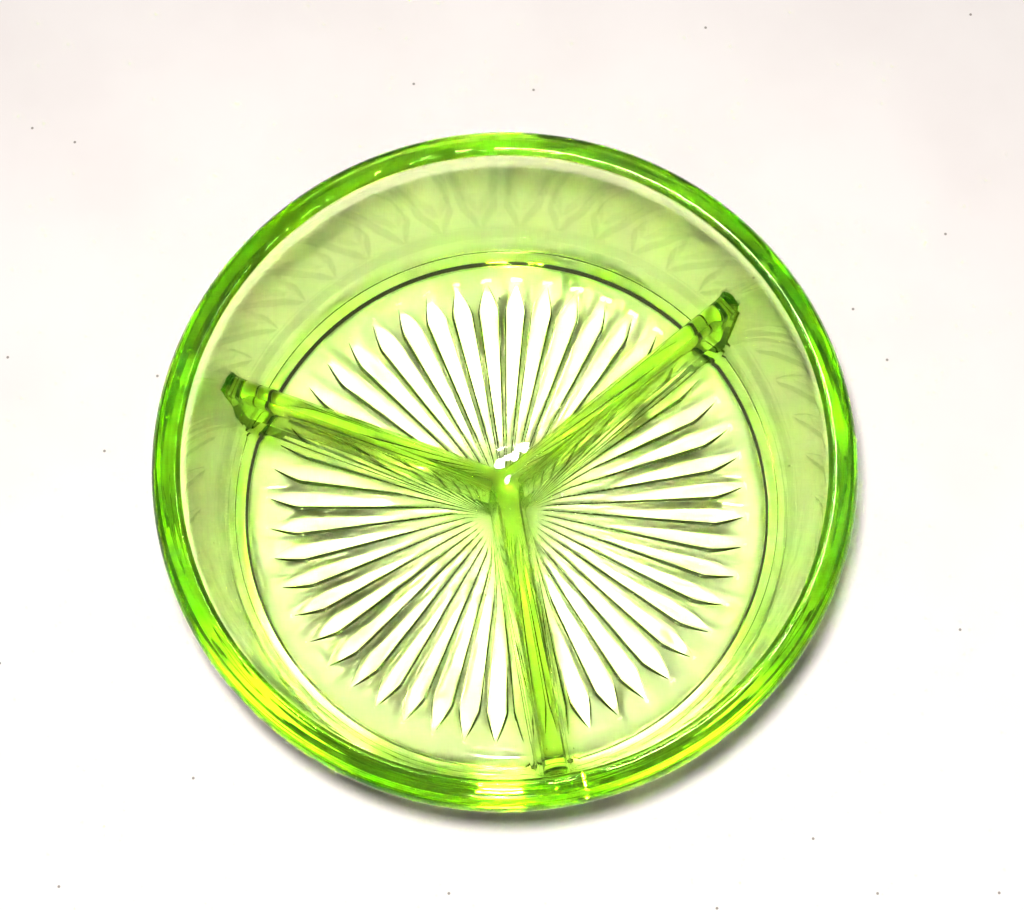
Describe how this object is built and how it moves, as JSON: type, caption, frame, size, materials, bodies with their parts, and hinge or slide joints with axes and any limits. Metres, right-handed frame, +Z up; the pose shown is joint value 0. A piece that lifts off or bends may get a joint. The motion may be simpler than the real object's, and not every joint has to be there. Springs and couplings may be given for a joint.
{
  "type": "divided glass dish",
  "caption": "Round pressed-glass dish with a thick rounded rim, leaning wall, rayed floor on a foot ring and low dividers meeting in a Y that part it into compartments.",
  "frame": {"origin": "centre of the foot ring, on the surface that the dish stands on", "axes": "+Z up through the dish's axis; one divider points along -Y, towards the front"},
  "size_m": [0.152, 0.152, 0.048],
  "materials": {
    "uranium_glass": "fire-polished pressed glass, clear yellow-green"
  },
  "bodies": {
    "root": {"rim": "uranium_glass", "side_wall": "uranium_glass", "heel": "uranium_glass", "foot_ring": "uranium_glass", "rayed_floor": "uranium_glass", "divider_hub": "uranium_glass", "divider_front": "uranium_glass", "divider_right": "uranium_glass", "divider_left": "uranium_glass"}
  },
  "joints": []
}
